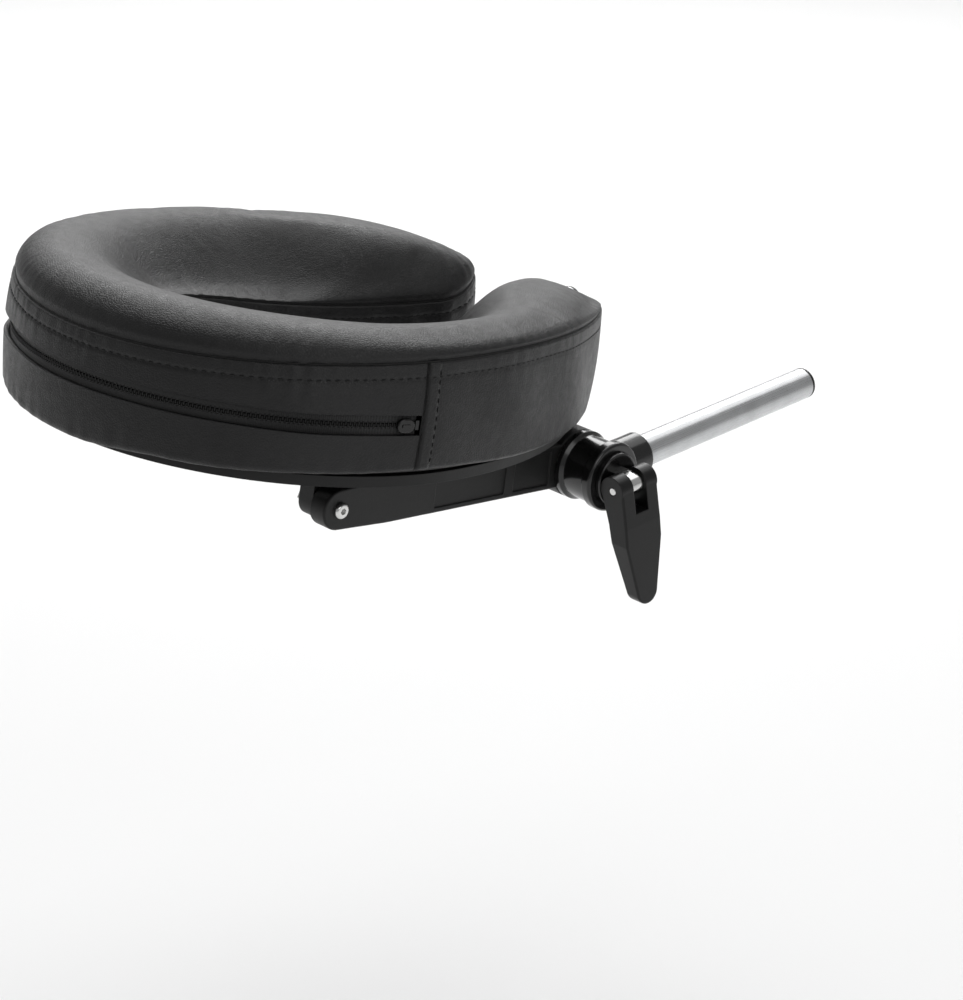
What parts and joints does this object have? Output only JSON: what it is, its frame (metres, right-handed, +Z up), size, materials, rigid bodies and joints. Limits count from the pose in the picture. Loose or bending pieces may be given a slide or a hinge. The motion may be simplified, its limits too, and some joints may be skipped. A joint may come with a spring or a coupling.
{
  "type": "face cradle",
  "caption": "Face cradle for a massage table: crescent cushion in a zipped cover on a tilting platform, two arms and a cam-clamped base whose posts slide into the table's end.",
  "frame": {"origin": "midway between the two post axes, in the plane of the table's end face", "axes": "+Y along the posts into the table, +X to the right when facing the table's end (the cam lever's side), +Z up"},
  "size_m": [0.292, 0.4865, 0.2288],
  "materials": {
    "leatherette": "satin, fine grain",
    "base_foam": "open-cell foam",
    "memory_foam": "slow foam",
    "zip_tape": "woven",
    "zip_coil": "nylon coil",
    "zip_metal": "black enamel",
    "hook_and_loop": "hook and loop",
    "platform_plastic": "moulded, fine texture",
    "arm_plastic": "moulded, fine texture",
    "bushing_plastic": "natural nylon",
    "hub_plastic": "gloss",
    "lever_plastic": "satin",
    "cap_plastic": "matt",
    "post_steel": "black powder coat",
    "bright_steel": "zinc plated",
    "set_screw_steel": "black oxide"
  },
  "bodies": {
    "base": {"clamp_hub_left": "hub_plastic", "clamp_hub_right": "hub_plastic", "post_left": "post_steel", "post_right": "post_steel", "post_caps": "cap_plastic", "set_screws": "set_screw_steel", "friction_washers": "bushing_plastic", "clamp_saddle_left": "hub_plastic", "clamp_saddle_right": "hub_plastic", "tension_rod": "bright_steel", "spacer_tube": "post_steel", "end_nut": "bright_steel", "lever_pin": "bright_steel"},
    "arms": {"arm_left": "arm_plastic", "arm_right": "arm_plastic", "arm_bushings": "bushing_plastic"},
    "platform": {"platform": "platform_plastic", "hook_strips": "hook_and_loop", "pivot_screws": "bright_steel", "pivot_nuts": "bright_steel", "pivot_washers": "bushing_plastic"},
    "cushion": {"foam_core": "base_foam", "memory_foam": "memory_foam", "top_panel": "leatherette", "bottom_panel": "leatherette", "end_band": "leatherette", "front_band_lower": "leatherette", "front_band_upper": "leatherette", "zip_tape_lower": "zip_tape", "zip_tape_upper": "zip_tape", "zip_coil": "zip_coil", "zip_stops": "zip_metal", "loop_strips": "hook_and_loop"},
    "zip_slider": {"zip_slider": "zip_metal"},
    "cam_lever": {"cam_lever": "lever_plastic"}
  },
  "joints": [
    {"name": "arm_raise", "type": "hinge", "parent": "base", "child": "arms", "pos_m": [0, -0.058, 0], "axis": [-1, 0, 0], "range_deg": [-45, 20]},
    {"name": "platform_tilt", "type": "hinge", "parent": "arms", "child": "platform", "pos_m": [0, -0.24139, 0.03102], "axis": [1, 0, 0], "range_deg": [0, 45]},
    {"name": "cushion_lift", "type": "slide", "parent": "platform", "child": "cushion", "axis": [0, 0.1908, 0.9816], "range_m": [0, 0.1]},
    {"name": "cam_release", "type": "hinge", "parent": "base", "child": "cam_lever", "pos_m": [0.125, -0.058, 0], "axis": [0, -1, 0], "range_deg": [0, 120]},
    {"name": "zip_run", "type": "hinge", "parent": "cushion", "child": "zip_slider", "pos_m": [0, -0.2152, 0.0656], "axis": [0, -0.1908, -0.9816], "range_deg": [0, 150.6]}
  ]
}
